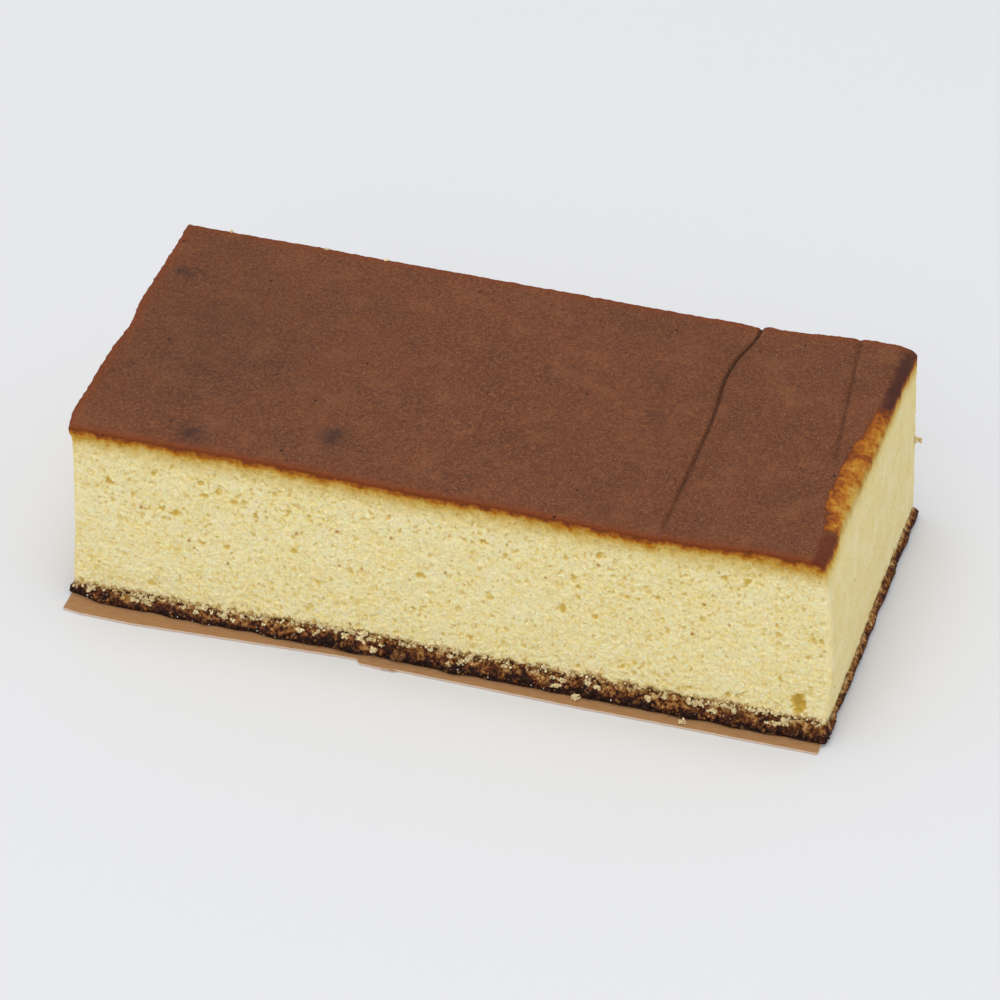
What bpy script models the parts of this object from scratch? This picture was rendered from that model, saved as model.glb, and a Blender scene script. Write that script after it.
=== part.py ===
"""Castella sponge cake: one oblong loaf on the thin kraft card it comes on.

Frame: +X runs along the long side, the long front cut side faces -Y and +Z is up.
The origin lies under the middle of the object, on the surface that it stands on.
Lengths are given in millimetres and turned to metres where a mesh is made.
"""
import math

import bmesh
import bpy
from mathutils import Vector, noise

MM = 0.001

# Driving sizes, in millimetres.
LOAF_LENGTH = 206.9
LOAF_WIDTH = 97.9
LOAF_TOP = 56.3            # height of the baked top above the surface
CARD_THICKNESS = 0.8
SEAM_GAP = 0.3             # clear space between the card and the loaf
EDGE_RADIUS = 0.6          # rounding of the cut edges

# How far the cut sides lean inwards from the foot to the top.
LEAN_FRONT = 1.0
LEAN_BACK = 1.0
LEAN_LEFT = 0.9
LEAN_RIGHT = 1.6           # at the front; less at the back
LEAN_RIGHT_BACK = 0.8

# The left end swells out behind a worn front corner, with a dent halfway along.
LEFT_SWELL = 1.3
LEFT_DENT = 0.49           # share of the width
LEFT_WORN = 1.0

# The right end bellies out at the front and tucks in at the foot at the back.
RIGHT_BELLY = 2.3
RIGHT_TUCK = 0.5

# The baked top falls from front to back, and from the left end to the crease.
TOP_FALL = 0.3
TOP_SAG = 0.8
TOP_UNEVEN = 0.35

# The bottom crust stands out round the foot as a low ragged rim.
RIM_HEIGHT = 4.2
RIM_LEFT = 0.7             # share of that height at the front left
RIM_LOW = 1.7              # height at the back and at both ends
RIM_FRONT = 2.6
RIM_GROWTH = 0.4           # how much further the front rim reaches towards the right
RIM_BACK = 0.9
RIM_LEFT_END = 0.5
RIM_RIGHT_END = 1.5
RIM_RAGGED = 0.7
RIM_START = 9.0            # the front rim grows from nothing over this much of the left

# A long crease crosses the top, and the top swells between it and the right end.
CREASE_X = 58.2
CREASE_DEPTH = 0.75
CREASE_WIDTH = 1.2
CREASE_BOW = 1.7
CREASE_HOOK = 1.6
CREASE_LIP = 0.6
CREASE_FADE = 9.0          # the crease dies out this close to the front edge
SWELL_HEIGHT = 2.3
SWELL_PEAK = 0.72          # share of the way from the crease to the end
END_ROLL = 6.0             # the top rolls down over this much of the right end
END_DROP = 2.2
END_DROP_BACK = 0.45       # share that the back corner drops further
WRINKLE_DEPTH = 0.45
WRINKLE_WIDTH = 1.4
WRINKLE_FRONT = 100.2      # where the second crease would reach the front edge
WRINKLE_BACK = 87.2        # and where it reaches the back edge

# The card reaches out in front of the loaf, more at the left, with a small torn nick.
CARD_LEFT = 104.2
CARD_RIGHT = 103.6
CARD_BACK = 50.5
CARD_FRONT_LEFT = 53.4
CARD_FRONT_NICK = 50.2
CARD_FRONT_RIGHT = 52.1
CARD_CORNER = 0.9          # how far the front left corner is cut back
NICK_X = -22.4
NICK_WIDTH = 1.2
NICK_FLAP = 1.5
TONGUE_LENGTH = 7.5        # the tongue of card that stands out beside the nick
RIGHT_BEND = 35.0          # from here on the front edge runs straight

# Spacing of the cuts that carry the shape.
STEP_X = 5.2
STEP_Y = 6.5
STEP_Z = 9.0
STEP_CREASE = 0.9
STEP_END = 1.3

LOAF_CENTRE_Y = 3.15       # the loaf lies this far back of the card's middle
COLLECTION = "castella_sponge_cake"


def clear_scene():
    """Remove what the start-up file holds."""
    for old in list(bpy.data.objects):
        bpy.data.objects.remove(old, do_unlink=True)


def make_material(name, colour, roughness):
    """Return a plain non-metal material."""
    material = bpy.data.materials.new(name)
    material.use_nodes = True
    shader = material.node_tree.nodes["Principled BSDF"]
    shader.inputs["Base Color"].default_value = (*colour, 1.0)
    shader.inputs["Roughness"].default_value = roughness
    shader.inputs["Metallic"].default_value = 0.0
    return material


def stations(start, stop, step):
    """Return evenly spaced cuts between two ends, without the ends."""
    count = max(1, round((stop - start) / step))
    return [start + (stop - start) * i / count for i in range(1, count)]


def smooth(share):
    """Ease a share from 0 to 1, held at both ends."""
    share = min(1.0, max(0.0, share))
    return share * share * (3.0 - 2.0 * share)


def share_back(y):
    """Return how far y lies from the loaf's front edge, as a share of its width."""
    return y / LOAF_WIDTH + 0.5


def bump(distance, width):
    """Return a bell curve: 1 at no distance, near 0 past twice the width."""
    return math.exp(-(distance / width) ** 2)


def crease_line(y):
    """Return how far the long crease wanders from its straight line at y."""
    back = share_back(y)
    return CREASE_HOOK * smooth((back - 0.82) / 0.14) - CREASE_BOW * bump(back - 0.74, 0.13)


def top_relief(x, y):
    """Return how far the baked top stands above or below its plane at x, y."""
    back = share_back(y)
    along = (x + LOAF_LENGTH / 2) / (CREASE_X + LOAF_LENGTH / 2)
    height = TOP_FALL * (0.5 - back) - TOP_SAG * min(1.0, along)
    height += TOP_UNEVEN * noise.noise(Vector((x / 38.0, y / 30.0, 0.4)))
    off = x - CREASE_X - crease_line(y)
    height -= CREASE_DEPTH * smooth(back * LOAF_WIDTH / CREASE_FADE) * bump(off, CREASE_WIDTH)
    if off > 0.0:
        share = off / (LOAF_LENGTH / 2 - CREASE_X)
        height += SWELL_HEIGHT * smooth(share / SWELL_PEAK) * (0.65 + 0.35 * back)
        height += CREASE_LIP * bump(off - 3.5, 2.5)
    wrinkle = WRINKLE_FRONT + (WRINKLE_BACK - WRINKLE_FRONT) * back
    height -= WRINKLE_DEPTH * smooth((back - 0.3) / 0.2) * bump(x - wrinkle, WRINKLE_WIDTH)
    into_roll = (x - (LOAF_LENGTH / 2 - END_ROLL)) / END_ROLL
    if into_roll > 0.0:
        worn = 0.4 + 0.6 * math.sin(math.pi * min(1.0, back * 1.25)) ** 2
        worn += END_DROP_BACK * smooth((back - 0.86) / 0.1)
        height -= END_DROP * worn * into_roll ** 2
    return height


def rim_reach(z):
    """Return the share of the rim's full reach at height z of the block above its foot."""
    return 1.0 - smooth((z / RIM_HEIGHT - 0.45) / 0.55)


def rim_drop(x, y, z):
    """Return how far a point at height z above the foot sinks where the rim is low."""
    in_front = smooth((-y / (LOAF_WIDTH / 2) - 0.93) / 0.06)
    tall = RIM_HEIGHT * (RIM_LEFT + (1.0 - RIM_LEFT) * smooth((x + 62.0) / 25.0))
    rim = RIM_LOW + (tall - RIM_LOW) * in_front
    fade = 1.0 - smooth((z - RIM_HEIGHT) / (2 * RIM_HEIGHT))
    return (RIM_HEIGHT - rim) * min(1.0, z / RIM_HEIGHT) * fade


def side_shift(x, y, rise):
    """Return how far the two short ends stand in or out along X."""
    back = share_back(y)
    if x < 0:
        dent = 1.0 - 0.85 * bump(back - LEFT_DENT, 0.08)
        swell = LEFT_SWELL * smooth(back / 0.1) * dent * (0.3 + 0.7 * rise)
        worn = LEFT_WORN * smooth(rise / 0.5) * (1.0 - smooth((rise - 0.93) / 0.04))
        return LEAN_LEFT * rise + worn - swell
    lean = LEAN_RIGHT + (LEAN_RIGHT_BACK - LEAN_RIGHT) * smooth(back)
    belly = RIGHT_BELLY * 4.0 * rise * (1.0 - rise) * (1.0 - smooth(back / 0.8))
    return belly - lean * rise - RIGHT_TUCK * smooth(back) * (1.0 - rise)


def shape_loaf(point):
    """Return the place, in millimetres, of one point of the plain block on the loaf."""
    half_x, half_y = LOAF_LENGTH / 2, LOAF_WIDTH / 2
    foot = CARD_THICKNESS + SEAM_GAP
    rise = (point.z - foot) / (LOAF_TOP - foot)
    along = point.x / half_x
    across = point.y / half_y
    x, y, z = point
    # The crease's cuts follow its wandering line, and the top takes the relief.
    x += bump(x - CREASE_X, 9.0) * crease_line(y)
    z += top_relief(x, y) * smooth((rise - 0.55) / 0.45)
    # The four cut sides lean in, and a knife never cuts quite flat.
    y += (LEAN_FRONT if across < 0 else -LEAN_BACK) * rise * across ** 4
    x += side_shift(point.x, point.y, rise) * along ** 4
    wave = 0.3 * noise.noise(Vector((point.x / 27.0, point.y / 27.0, point.z / 19.0)))
    y += wave * across ** 8
    x += wave * along ** 8
    # The rim of bottom crust stands out, ragged along its edge.
    reach = rim_reach(point.z - foot)
    ragged = RIM_RAGGED * noise.noise(Vector((point.x / 7.0, point.y / 7.0, 3.0)))
    grown = smooth((point.x + half_x) / RIM_START)
    front = (RIM_FRONT + RIM_GROWTH * smooth((point.x + 60.0) / 60.0)) * grown
    out_y = -front - ragged if across < 0 else RIM_BACK + ragged
    out_x = (-RIM_LEFT_END if along < 0 else RIM_RIGHT_END) + ragged
    y += out_y * reach * smooth((abs(across) - 0.9) / 0.1)
    x += out_x * reach * smooth((abs(along) - 0.95) / 0.05)
    z -= rim_drop(point.x, point.y, point.z - foot)
    return Vector((x, y + LOAF_CENTRE_Y, z))


def loaf_cuts():
    """Return the places along X, Y and Z where the block is cut into a fine skin."""
    half_x, half_y = LOAF_LENGTH / 2, LOAF_WIDTH / 2
    foot = CARD_THICKNESS + SEAM_GAP
    crease_side = 4 * STEP_CREASE
    fine_start = half_x - 8 * STEP_END
    along = stations(-half_x, CREASE_X - crease_side, STEP_X)
    along += [CREASE_X + i * STEP_CREASE for i in (-4, -2, -1, 0, 1, 2, 4)]
    along += stations(CREASE_X + crease_side, 84.0, STEP_X)
    along += stations(84.0, fine_start, 2 * STEP_END) + [fine_start]
    along += stations(fine_start, half_x, STEP_END)
    across = stations(-half_y, half_y, STEP_Y)
    low = [foot + RIM_HEIGHT * share for share in (0.45, 0.7, 1.0)]
    return along, across, low + stations(low[-1], LOAF_TOP, STEP_Z)


def build_loaf(collection):
    """Make the loaf: a block with rounded edges, cut fine and shaped point by point."""
    foot = CARD_THICKNESS + SEAM_GAP
    mesh = bpy.data.meshes.new("castella_loaf")
    bm = bmesh.new()
    bmesh.ops.create_cube(bm, size=1.0)
    bmesh.ops.scale(bm, vec=(LOAF_LENGTH, LOAF_WIDTH, LOAF_TOP - foot), verts=bm.verts)
    bmesh.ops.translate(bm, vec=(0.0, 0.0, (LOAF_TOP + foot) / 2), verts=bm.verts)
    cut_edges = [e for e in bm.edges if max(v.co.z for v in e.verts) > foot + 1.0]
    bmesh.ops.bevel(bm, geom=cut_edges, offset=EDGE_RADIUS, segments=2, profile=0.5,
                    affect="EDGES")
    for axis, places in enumerate(loaf_cuts()):
        normal = Vector((0.0, 0.0, 0.0))
        normal[axis] = 1.0
        for place in places:
            bmesh.ops.bisect_plane(bm, geom=bm.verts[:] + bm.edges[:] + bm.faces[:],
                                   plane_co=normal * place, plane_no=normal, dist=1e-5)
    for vert in bm.verts:
        vert.co = shape_loaf(vert.co) * MM
    bmesh.ops.triangulate(bm, faces=bm.faces)
    bmesh.ops.recalc_face_normals(bm, faces=bm.faces)
    bm.to_mesh(mesh)
    bm.free()
    loaf = bpy.data.objects.new("castella_loaf", mesh)
    mesh.materials.append(make_material("baked_sponge", (0.72, 0.58, 0.28), 0.85))
    collection.objects.link(loaf)
    return loaf


def card_outline():
    """Return the card's outline, anticlockwise from its front left corner."""
    tip = NICK_X + NICK_WIDTH
    return [
        (-CARD_LEFT, -CARD_FRONT_LEFT + CARD_CORNER),
        (-CARD_LEFT + 5.0, -CARD_FRONT_LEFT + CARD_CORNER / 5),
        (-CARD_LEFT + 20.0, -CARD_FRONT_LEFT),
        (NICK_X - 4.0, -CARD_FRONT_NICK),
        (NICK_X, -CARD_FRONT_NICK),
        (tip, -CARD_FRONT_NICK - NICK_FLAP),
        (tip + TONGUE_LENGTH, -CARD_FRONT_NICK - NICK_FLAP),
        (tip + TONGUE_LENGTH + 0.6, -CARD_FRONT_NICK - NICK_FLAP * 0.8),
        (RIGHT_BEND, -CARD_FRONT_RIGHT),
        (CARD_RIGHT, -CARD_FRONT_RIGHT),
        (CARD_RIGHT, CARD_BACK),
        (-CARD_LEFT, CARD_BACK),
    ]


def build_card(collection):
    """Make the thin kraft card: a flat outline given its thickness."""
    curve = bpy.data.curves.new("card_outline", "CURVE")
    curve.dimensions = "2D"
    curve.fill_mode = "BOTH"
    curve.extrude = CARD_THICKNESS / 2 * MM
    outline = card_outline()
    spline = curve.splines.new("POLY")
    spline.points.add(len(outline) - 1)
    for point, (x, y) in zip(spline.points, outline):
        point.co = (x * MM, y * MM, 0.0, 1.0)
    spline.use_cyclic_u = True
    card = bpy.data.objects.new("base_card", curve)
    card.location = (0.0, 0.0, CARD_THICKNESS / 2 * MM)
    curve.materials.append(make_material("kraft_card", (0.38, 0.19, 0.08), 0.8))
    collection.objects.link(card)
    return card


def centre_on_origin(parts):
    """Shift the parts together so that the origin lies under the middle of the whole."""
    bpy.context.view_layer.update()
    corners = [part.matrix_world @ Vector(corner) for part in parts for corner in part.bound_box]
    for axis in (0, 1):
        places = [corner[axis] for corner in corners]
        middle = (min(places) + max(places)) / 2
        for part in parts:
            part.location[axis] -= middle


def main():
    """Build the loaf and its card."""
    clear_scene()
    collection = bpy.data.collections.new(COLLECTION)
    bpy.context.scene.collection.children.link(collection)
    centre_on_origin([build_loaf(collection), build_card(collection)])


main()
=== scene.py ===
"""Looks of a castella sponge cake: open yellow crumb, baked brown top, dark foot, kraft card.

Lengths are in millimetres until a mesh is written, which holds metres. +X runs along the
long side, the long front cut side faces -Y and +Z is up.
"""

import logging
import math
import random
from contextlib import contextmanager
from dataclasses import dataclass, field
from enum import Enum
from typing import Callable, Iterable, Iterator, Optional, Sequence

import bpy
import numpy as np
from mathutils import Matrix, Vector, noise


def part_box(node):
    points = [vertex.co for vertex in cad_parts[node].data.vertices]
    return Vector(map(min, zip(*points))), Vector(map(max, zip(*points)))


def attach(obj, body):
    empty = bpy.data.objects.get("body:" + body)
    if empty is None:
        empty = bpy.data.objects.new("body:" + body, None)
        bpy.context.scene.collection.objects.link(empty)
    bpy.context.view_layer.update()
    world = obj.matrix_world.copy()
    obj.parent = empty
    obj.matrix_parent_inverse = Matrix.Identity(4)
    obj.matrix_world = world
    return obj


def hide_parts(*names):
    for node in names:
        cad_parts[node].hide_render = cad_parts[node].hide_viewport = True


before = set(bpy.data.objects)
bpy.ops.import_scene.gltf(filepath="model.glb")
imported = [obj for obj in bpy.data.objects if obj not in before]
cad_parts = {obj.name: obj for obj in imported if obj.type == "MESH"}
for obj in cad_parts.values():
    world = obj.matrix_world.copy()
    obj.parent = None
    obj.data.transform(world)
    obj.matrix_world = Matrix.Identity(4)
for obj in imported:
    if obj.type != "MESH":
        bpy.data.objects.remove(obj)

Tree = bpy.types.NodeTree
Socket = bpy.types.NodeSocket
Piece = bpy.types.Object
Finish = bpy.types.Material
Values = np.ndarray
Span = tuple[float, float]
Number = float | Socket             # a plain number, or the socket that gives one
Colour = str | Socket               # an sRGB hex code, or the socket that gives a colour

LOG = logging.getLogger("castella")
MM = 0.001
MIX_A, MIX_B, MIX_OUT = 6, 7, 2     # the colour sockets of a Mix node


# ---- Small shared tools ----

def srgb(code: str) -> tuple[float, float, float, float]:
    """Turn an sRGB hex colour into linear RGBA.

    Args:
        code: Six hex digits after a hash, such as "#A87B50".

    Returns:
        The linear red, green, blue and an alpha of one.
    """
    parts = [int(code[i:i + 2], 16) / 255 for i in (1, 3, 5)]
    linear = [p / 12.92 if p <= 0.04045 else ((p + 0.055) / 1.055) ** 2.4 for p in parts]
    return (*linear, 1.0)


def add_node(tree: Tree, kind: str, inputs: Optional[dict] = None,
             stops: Optional[Sequence[tuple[float, str]]] = None, **settings: object) -> bpy.types.Node:
    """Add one node with its settings, values and links.

    Args:
        tree: Node tree that gets the node.
        kind: Node type name.
        inputs: Socket name or number to a value, or to the output socket to link.
        stops: For a colour ramp, its positions and sRGB hex colours.
        settings: Properties of the node itself.

    Returns:
        The new node.
    """
    node = tree.nodes.new(kind)
    for name, value in settings.items():
        setattr(node, name, value)
    for key, value in (inputs or {}).items():
        socket = node.inputs[key]
        if isinstance(value, Socket):
            tree.links.new(value, socket)
        else:
            socket.default_value = value
    if stops:
        elements = node.color_ramp.elements
        while len(elements) < len(stops):
            elements.new(1.0)
        for element, (place, code) in zip(elements, stops):
            element.position = place
            element.color = srgb(code)
    return node


def smooth(share: Values) -> Values:
    """Ease a share from 0 to 1, held at both ends."""
    share = np.clip(share, 0.0, 1.0)
    return share * share * (3.0 - 2.0 * share)


def bump(distance: Values, width: float) -> Values:
    """Return a bell curve: 1 at no distance, near 0 past twice the width."""
    return np.exp(-(distance / width) ** 2)


def flat(x: Values, y: Values) -> Values:
    """Return level points from their X and Y."""
    return np.stack([x, y, np.zeros_like(x)], axis=1)


def ripple(points: Values, scale: Sequence[float], shift: float = 0.0) -> Values:
    """Sample smooth noise at many points.

    Args:
        points: N by 3 places in millimetres.
        scale: Size of the noise along X, Y and Z in millimetres.
        shift: Offset that gives a different pattern.

    Returns:
        N values, roughly from -1 to 1.
    """
    scaled = points / np.asarray(scale) + shift
    return np.array([noise.noise(Vector(p)) for p in scaled])


# ---- Form of the loaf ----

@dataclass(frozen=True)
class Wrinkle:
    """A fine fold in the baked top, straight from the front edge towards the back.

    Attributes:
        x_front: Where it would reach the front edge, in millimetres.
        x_back: Where it would reach the back edge.
        start: Share of the width at which it begins.
        stop: Share of the width at which it ends.
        depth: Depth in millimetres.
        width: Half its width in millimetres.
        shade: How much painted shade darkens its bottom, from 0 to 1.
    """

    x_front: float
    x_back: float
    start: float
    stop: float
    depth: float
    width: float
    shade: float

    def reach(self, x: Values, back: Values) -> Values:
        """Return the fold's share of its full depth at x and a share of the width."""
        line = self.x_front + (self.x_back - self.x_front) * back
        along = smooth((back - self.start) / 0.1) * (1.0 - smooth((back - self.stop) / 0.1))
        return along * bump(x - line, self.width)


@dataclass(frozen=True)
class LoafForm:
    """True form of the loaf, which maps a plain block onto it.

    The block spans the length, the width, and the height from the foot to the top. Its sizes
    are in millimetres, or shares of the width where they go by how far back a point lies. The
    methods take x and y, and mostly give back one value for each point.
    """

    length: float = 206.9
    width: float = 97.9
    foot: float = 1.1
    top: float = 56.3
    centre_x: float = 0.0
    centre_y: float = 0.0
    lean_front: float = 1.0
    lean_back: float = 1.0
    lean_left: float = 0.9
    lean_right: float = 1.6
    lean_right_back: float = 0.8
    left_swell: float = 1.3
    left_worn: float = 1.0
    left_dent: float = 0.49
    right_belly: float = 2.3
    right_tuck: float = 0.5
    top_fall: float = 0.3
    top_sag: float = 0.8
    top_uneven: float = 0.35
    edge_round: float = 0.6
    corner_round: float = 0.7
    rim_height: float = 4.2
    rim_left: float = 0.7
    rim_low: float = 1.7
    rim_front: float = 2.6
    rim_back: float = 0.9
    rim_left_end: float = 0.5
    rim_right_end: float = 1.5
    rim_flare: float = 1.2
    rim_ragged: float = 0.7
    rim_start: float = 9.0
    crease_x: float = 58.2
    crease_depth: float = 0.75
    crease_width: float = 0.6
    crease_valley: float = 0.35
    crease_bow: float = 1.7
    crease_hook: float = 1.6
    crease_lip: float = 0.5
    crease_fade: float = 9.0
    crease_reach: float = 9.0
    swell_height: float = 2.3
    swell_peak: float = 0.72
    end_roll: float = 6.0
    wear_depth: float = 1.85
    end_drop: float = 2.2
    wrinkles: tuple[Wrinkle, ...] = (
        Wrinkle(100.2, 87.2, 0.38, 1.2, 0.6, 0.7, 0.55),
        Wrinkle(88.7, 88.7, 0.36, 0.62, 0.15, 0.8, 0.3),
        Wrinkle(-69.4, -52.0, 0.12, 0.30, 0.1, 0.5, 0.25),
        Wrinkle(84.5, 100.5, 0.12, 0.5, 0.12, 0.4, 0.45),
    )

    @property
    def half(self) -> Span:
        """Half the length and half the width."""
        return self.length / 2, self.width / 2

    def back_share(self, y: Values) -> Values:
        """Return how far y lies from the front edge, as a share of the width."""
        return y / self.width + 0.5

    def crease_line(self, y: Values) -> Values:
        """Return how far the long crease wanders from its straight line at y."""
        back = self.back_share(y)
        hook = self.crease_hook * smooth((back - 0.82) / 0.14)
        return hook - self.crease_bow * bump(back - 0.74, 0.13)

    def bent_x(self, x: Values, y: Values) -> Values:
        """Return x of the block after its lines have followed the crease."""
        return x + bump(x - self.crease_x, self.crease_reach) * self.crease_line(y)

    def crease_shade(self, x: Values, y: Values) -> Values:
        """Return how much painted shade darkens the folds of the top, from 0 to 1."""
        back = self.back_share(y)
        off = x - self.crease_x - self.crease_line(y)
        mark = (0.35 + 0.65 * back) * smooth(back * self.width / self.crease_fade) * bump(
            off, self.crease_width)
        for wrinkle in self.wrinkles:
            mark = np.maximum(mark, wrinkle.shade * wrinkle.reach(x, back))
        return mark

    def end_wear(self, x: Values, y: Values) -> Values:
        """Return how far the crust is scraped off the right top edge, from 0 to 1."""
        back = self.back_share(y)
        along = smooth((back - 0.13) / 0.03) * (1.0 - smooth((back - 0.65) / 0.08))
        ragged = ripple(flat(x, y), (3.5, 3.5, 1.0), 2.3)
        broad = 4.2 + 3.1 * np.exp(-((back - 0.38) / 0.2) ** 2) + 0.9 * ragged
        into = x - (self.length / 2 - broad)
        golden = 1.0 + 0.45 * np.exp(-((back - 0.28) / 0.14) ** 2)
        return along * golden * smooth(into) * (0.4 + 0.6 * np.clip(into / 6.5, 0.0, 1.0) ** 1.3)

    def scorch(self, x: Values, y: Values) -> Values:
        """Return how scorched the top is beside its right edge, from 0 to 1."""
        back = self.back_share(y)
        at_back = smooth((back - 0.6) / 0.12) * (1.0 - 0.35 * smooth((back - 0.9) / 0.1))
        at_front = 1.0 - smooth((back - 0.09) / 0.07)
        into = x - self.length / 2
        return np.maximum(at_back * smooth((into + 6.0) / 5.5), 0.3 * at_front * smooth(
            (into + 6.0) / 4.5))

    def corner_red(self, x: Values, y: Values) -> Values:
        """Return how red the dark corner at the front right is, from 0 to 1."""
        near = 1.0 - smooth((self.back_share(y) - 0.12) / 0.04)
        return near * smooth((x - self.length / 2 + 5.2) / 3.2)

    def rim_reddening(self, x: Values, y: Values) -> Values:
        """Return how reddened the top is along its cut edges, from 0 to 1."""
        near = np.minimum(y + self.width / 2, self.width / 2 - y)
        return np.exp(-np.maximum(0.0, np.minimum(near, x + self.length / 2)) / 2.1)

    def top_relief(self, x: Values, y: Values) -> Values:
        """Return how far the baked top stands above or below its plane."""
        back = self.back_share(y)
        along = (x + self.length / 2) / (self.crease_x + self.length / 2)
        height = self.top_fall * (0.5 - back) - self.top_sag * np.minimum(1.0, along)
        height += self.top_uneven * ripple(flat(x, y), (38.0, 30.0, 1.0), 0.4)
        off = x - self.crease_x - self.crease_line(y)
        fade = smooth(back * self.width / self.crease_fade)
        height -= self.crease_depth * fade * bump(off, self.crease_width)
        height -= self.crease_valley * fade * bump(off + 1.0, 3.0)
        right = off > 0.0
        share = np.where(right, off, 0.0) / (self.length / 2 - self.crease_x)
        height += self.swell_height * smooth(share / self.swell_peak) * (0.65 + 0.35 * back)
        height += np.where(right, self.crease_lip * bump(off - 2.4, 1.8), 0.0)
        for wrinkle in self.wrinkles:
            height -= wrinkle.depth * wrinkle.reach(x, back)
        into_roll = np.maximum(0.0, (x - (self.length / 2 - self.end_roll)) / self.end_roll)
        worn = 0.4 + 0.6 * np.sin(math.pi * np.minimum(1.0, back * 1.25)) ** 2
        worn += 0.45 * smooth((back - 0.86) / 0.1)
        return height - self.end_drop * worn * into_roll ** 2

    def side_shift(self, x: Values, y: Values, rise: Values) -> Values:
        """Return how far the two short ends stand in or out along X."""
        back = self.back_share(y)
        dent = 1.0 - 0.85 * bump(back - self.left_dent, 0.08)
        swell = self.left_swell * smooth(back / 0.1) * dent * (0.3 + 0.7 * rise)
        worn = self.left_worn * smooth(rise / 0.5) * (1.0 - smooth((rise - 0.93) / 0.04))
        lean = self.lean_right + (self.lean_right_back - self.lean_right) * smooth(back)
        belly = self.right_belly * 4.0 * rise * (1.0 - rise) * (1.0 - smooth(back / 0.8))
        tuck = self.right_tuck * smooth(back) * (1.0 - rise)
        left = self.lean_left * rise + worn - swell
        return np.where(x < 0, left, belly - lean * rise - tuck)

    def rim_top(self, x: Values, y: Values) -> Values:
        """Return the height of the bottom crust: tall in front, a thin strip elsewhere."""
        in_front = smooth((-y / (self.width / 2) - 0.93) / 0.06)
        tall = self.rim_height * (self.rim_left + (1.0 - self.rim_left) * smooth((x + 62) / 25))
        return self.rim_low + (tall - self.rim_low) * in_front

    def place(self, block: Values, rim: bool = False) -> Values:
        """Move points of the plain block to their places on the real loaf.

        Args:
            block: N by 3 points of the block, in millimetres, centred on X and Y.
            rim: Whether the points belong to the ragged rim of bottom crust.

        Returns:
            N by 3 points on the loaf, in millimetres.
        """
        half_x, half_y = self.half
        x, y, z = block.T.copy()
        rise = (z - self.foot) / (self.top - self.foot)
        along, across = x / half_x, y / half_y
        new_x = self.bent_x(x, y)
        new_z = z + self.top_relief(new_x, y) * smooth((rise - 0.55) / 0.45)
        new_y = y + np.where(across < 0, self.lean_front, -self.lean_back) * rise * across ** 4
        new_x = new_x + self.side_shift(x, y, rise) * along ** 4
        wave = 0.3 * ripple(block, (27.0, 27.0, 19.0))
        new_y = new_y + wave * across ** 8
        new_x = new_x + wave * along ** 8
        if rim:
            share = (z - self.foot) / self.rim_height
            reach = 1.0 - smooth((share - 0.25) / 0.75)
            ragged = self.rim_ragged * ripple(flat(x, y), (7.0, 7.0, 1.0), 3.0)
            grown = smooth((x + half_x) / self.rim_start)
            front = (self.rim_front + 0.4 * smooth((x + 60.0) / 60.0)) * grown
            out_y = np.where(across < 0, -front - ragged, self.rim_back + ragged)
            flare = self.rim_flare * bump(x + half_x, 3.0) * bump(y + half_y, 4.0)
            out_x = np.where(along < 0, -self.rim_left_end, self.rim_right_end) + ragged - flare
            new_y += out_y * reach * smooth((np.abs(across) - 0.9) / 0.1)
            new_x += out_x * reach * smooth((np.abs(along) - 0.95) / 0.05)
            new_z = self.foot + share * self.rim_top(x, y)
        return np.stack([new_x + self.centre_x, new_y + self.centre_y, new_z], axis=1)

    def outward(self, block: Values) -> Values:
        """Return the outward direction of the cut sides at points of the block."""
        soft = self.corner_round
        way = flat(*(np.sign(side) * smooth((np.abs(side) - half + soft) / soft)
                     for side, half in zip(block.T, self.half)))
        size = np.linalg.norm(way, axis=1, keepdims=True)
        return way / np.maximum(size, 1e-6)


# ---- Modelling by hand: blocks, even cuts and finishes ----

class Axis(Enum):
    """The three directions, by their place in a point."""

    X = 0
    Y = 1
    Z = 2


EdgeTest = Callable[[Values], Values]
STRAIGHT = 0.01        # an edge along an axis strays less than this, in millimetres
NEAR = 0.1             # a point this close to a side belongs to it, in millimetres
MOST_PARTS = 100       # one subdivision makes at most this many lengths
FACING = 0.9           # the least share of a normal along the way that its face looks


def deselect() -> None:
    """Leave edit mode and deselect every object."""
    if bpy.context.object and bpy.context.object.mode != "OBJECT":
        bpy.ops.object.mode_set(mode="OBJECT")
    bpy.ops.object.select_all(action="DESELECT")


@contextmanager
def editing() -> Iterator[None]:
    """Work in edit mode for as long as the block under it lasts."""
    bpy.ops.object.mode_set(mode="EDIT")
    yield
    bpy.ops.object.mode_set(mode="OBJECT")


def select_nothing(kind: str) -> None:
    """Deselect a mesh all over and select by EDGE or by FACE from now on."""
    with editing():
        bpy.ops.mesh.select_mode(type=kind)
        bpy.ops.mesh.select_all(action="DESELECT")


def note_points(mesh: bpy.types.Mesh, **notes: Values) -> None:
    """Keep numbers, or directions, for each point of a mesh as named attributes."""
    for name, values in notes.items():
        kind, key = ("FLOAT", "value") if values.ndim == 1 else ("FLOAT_VECTOR", "vector")
        mesh.attributes.new(name, kind, "POINT").data.foreach_set(key, values.ravel())


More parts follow.
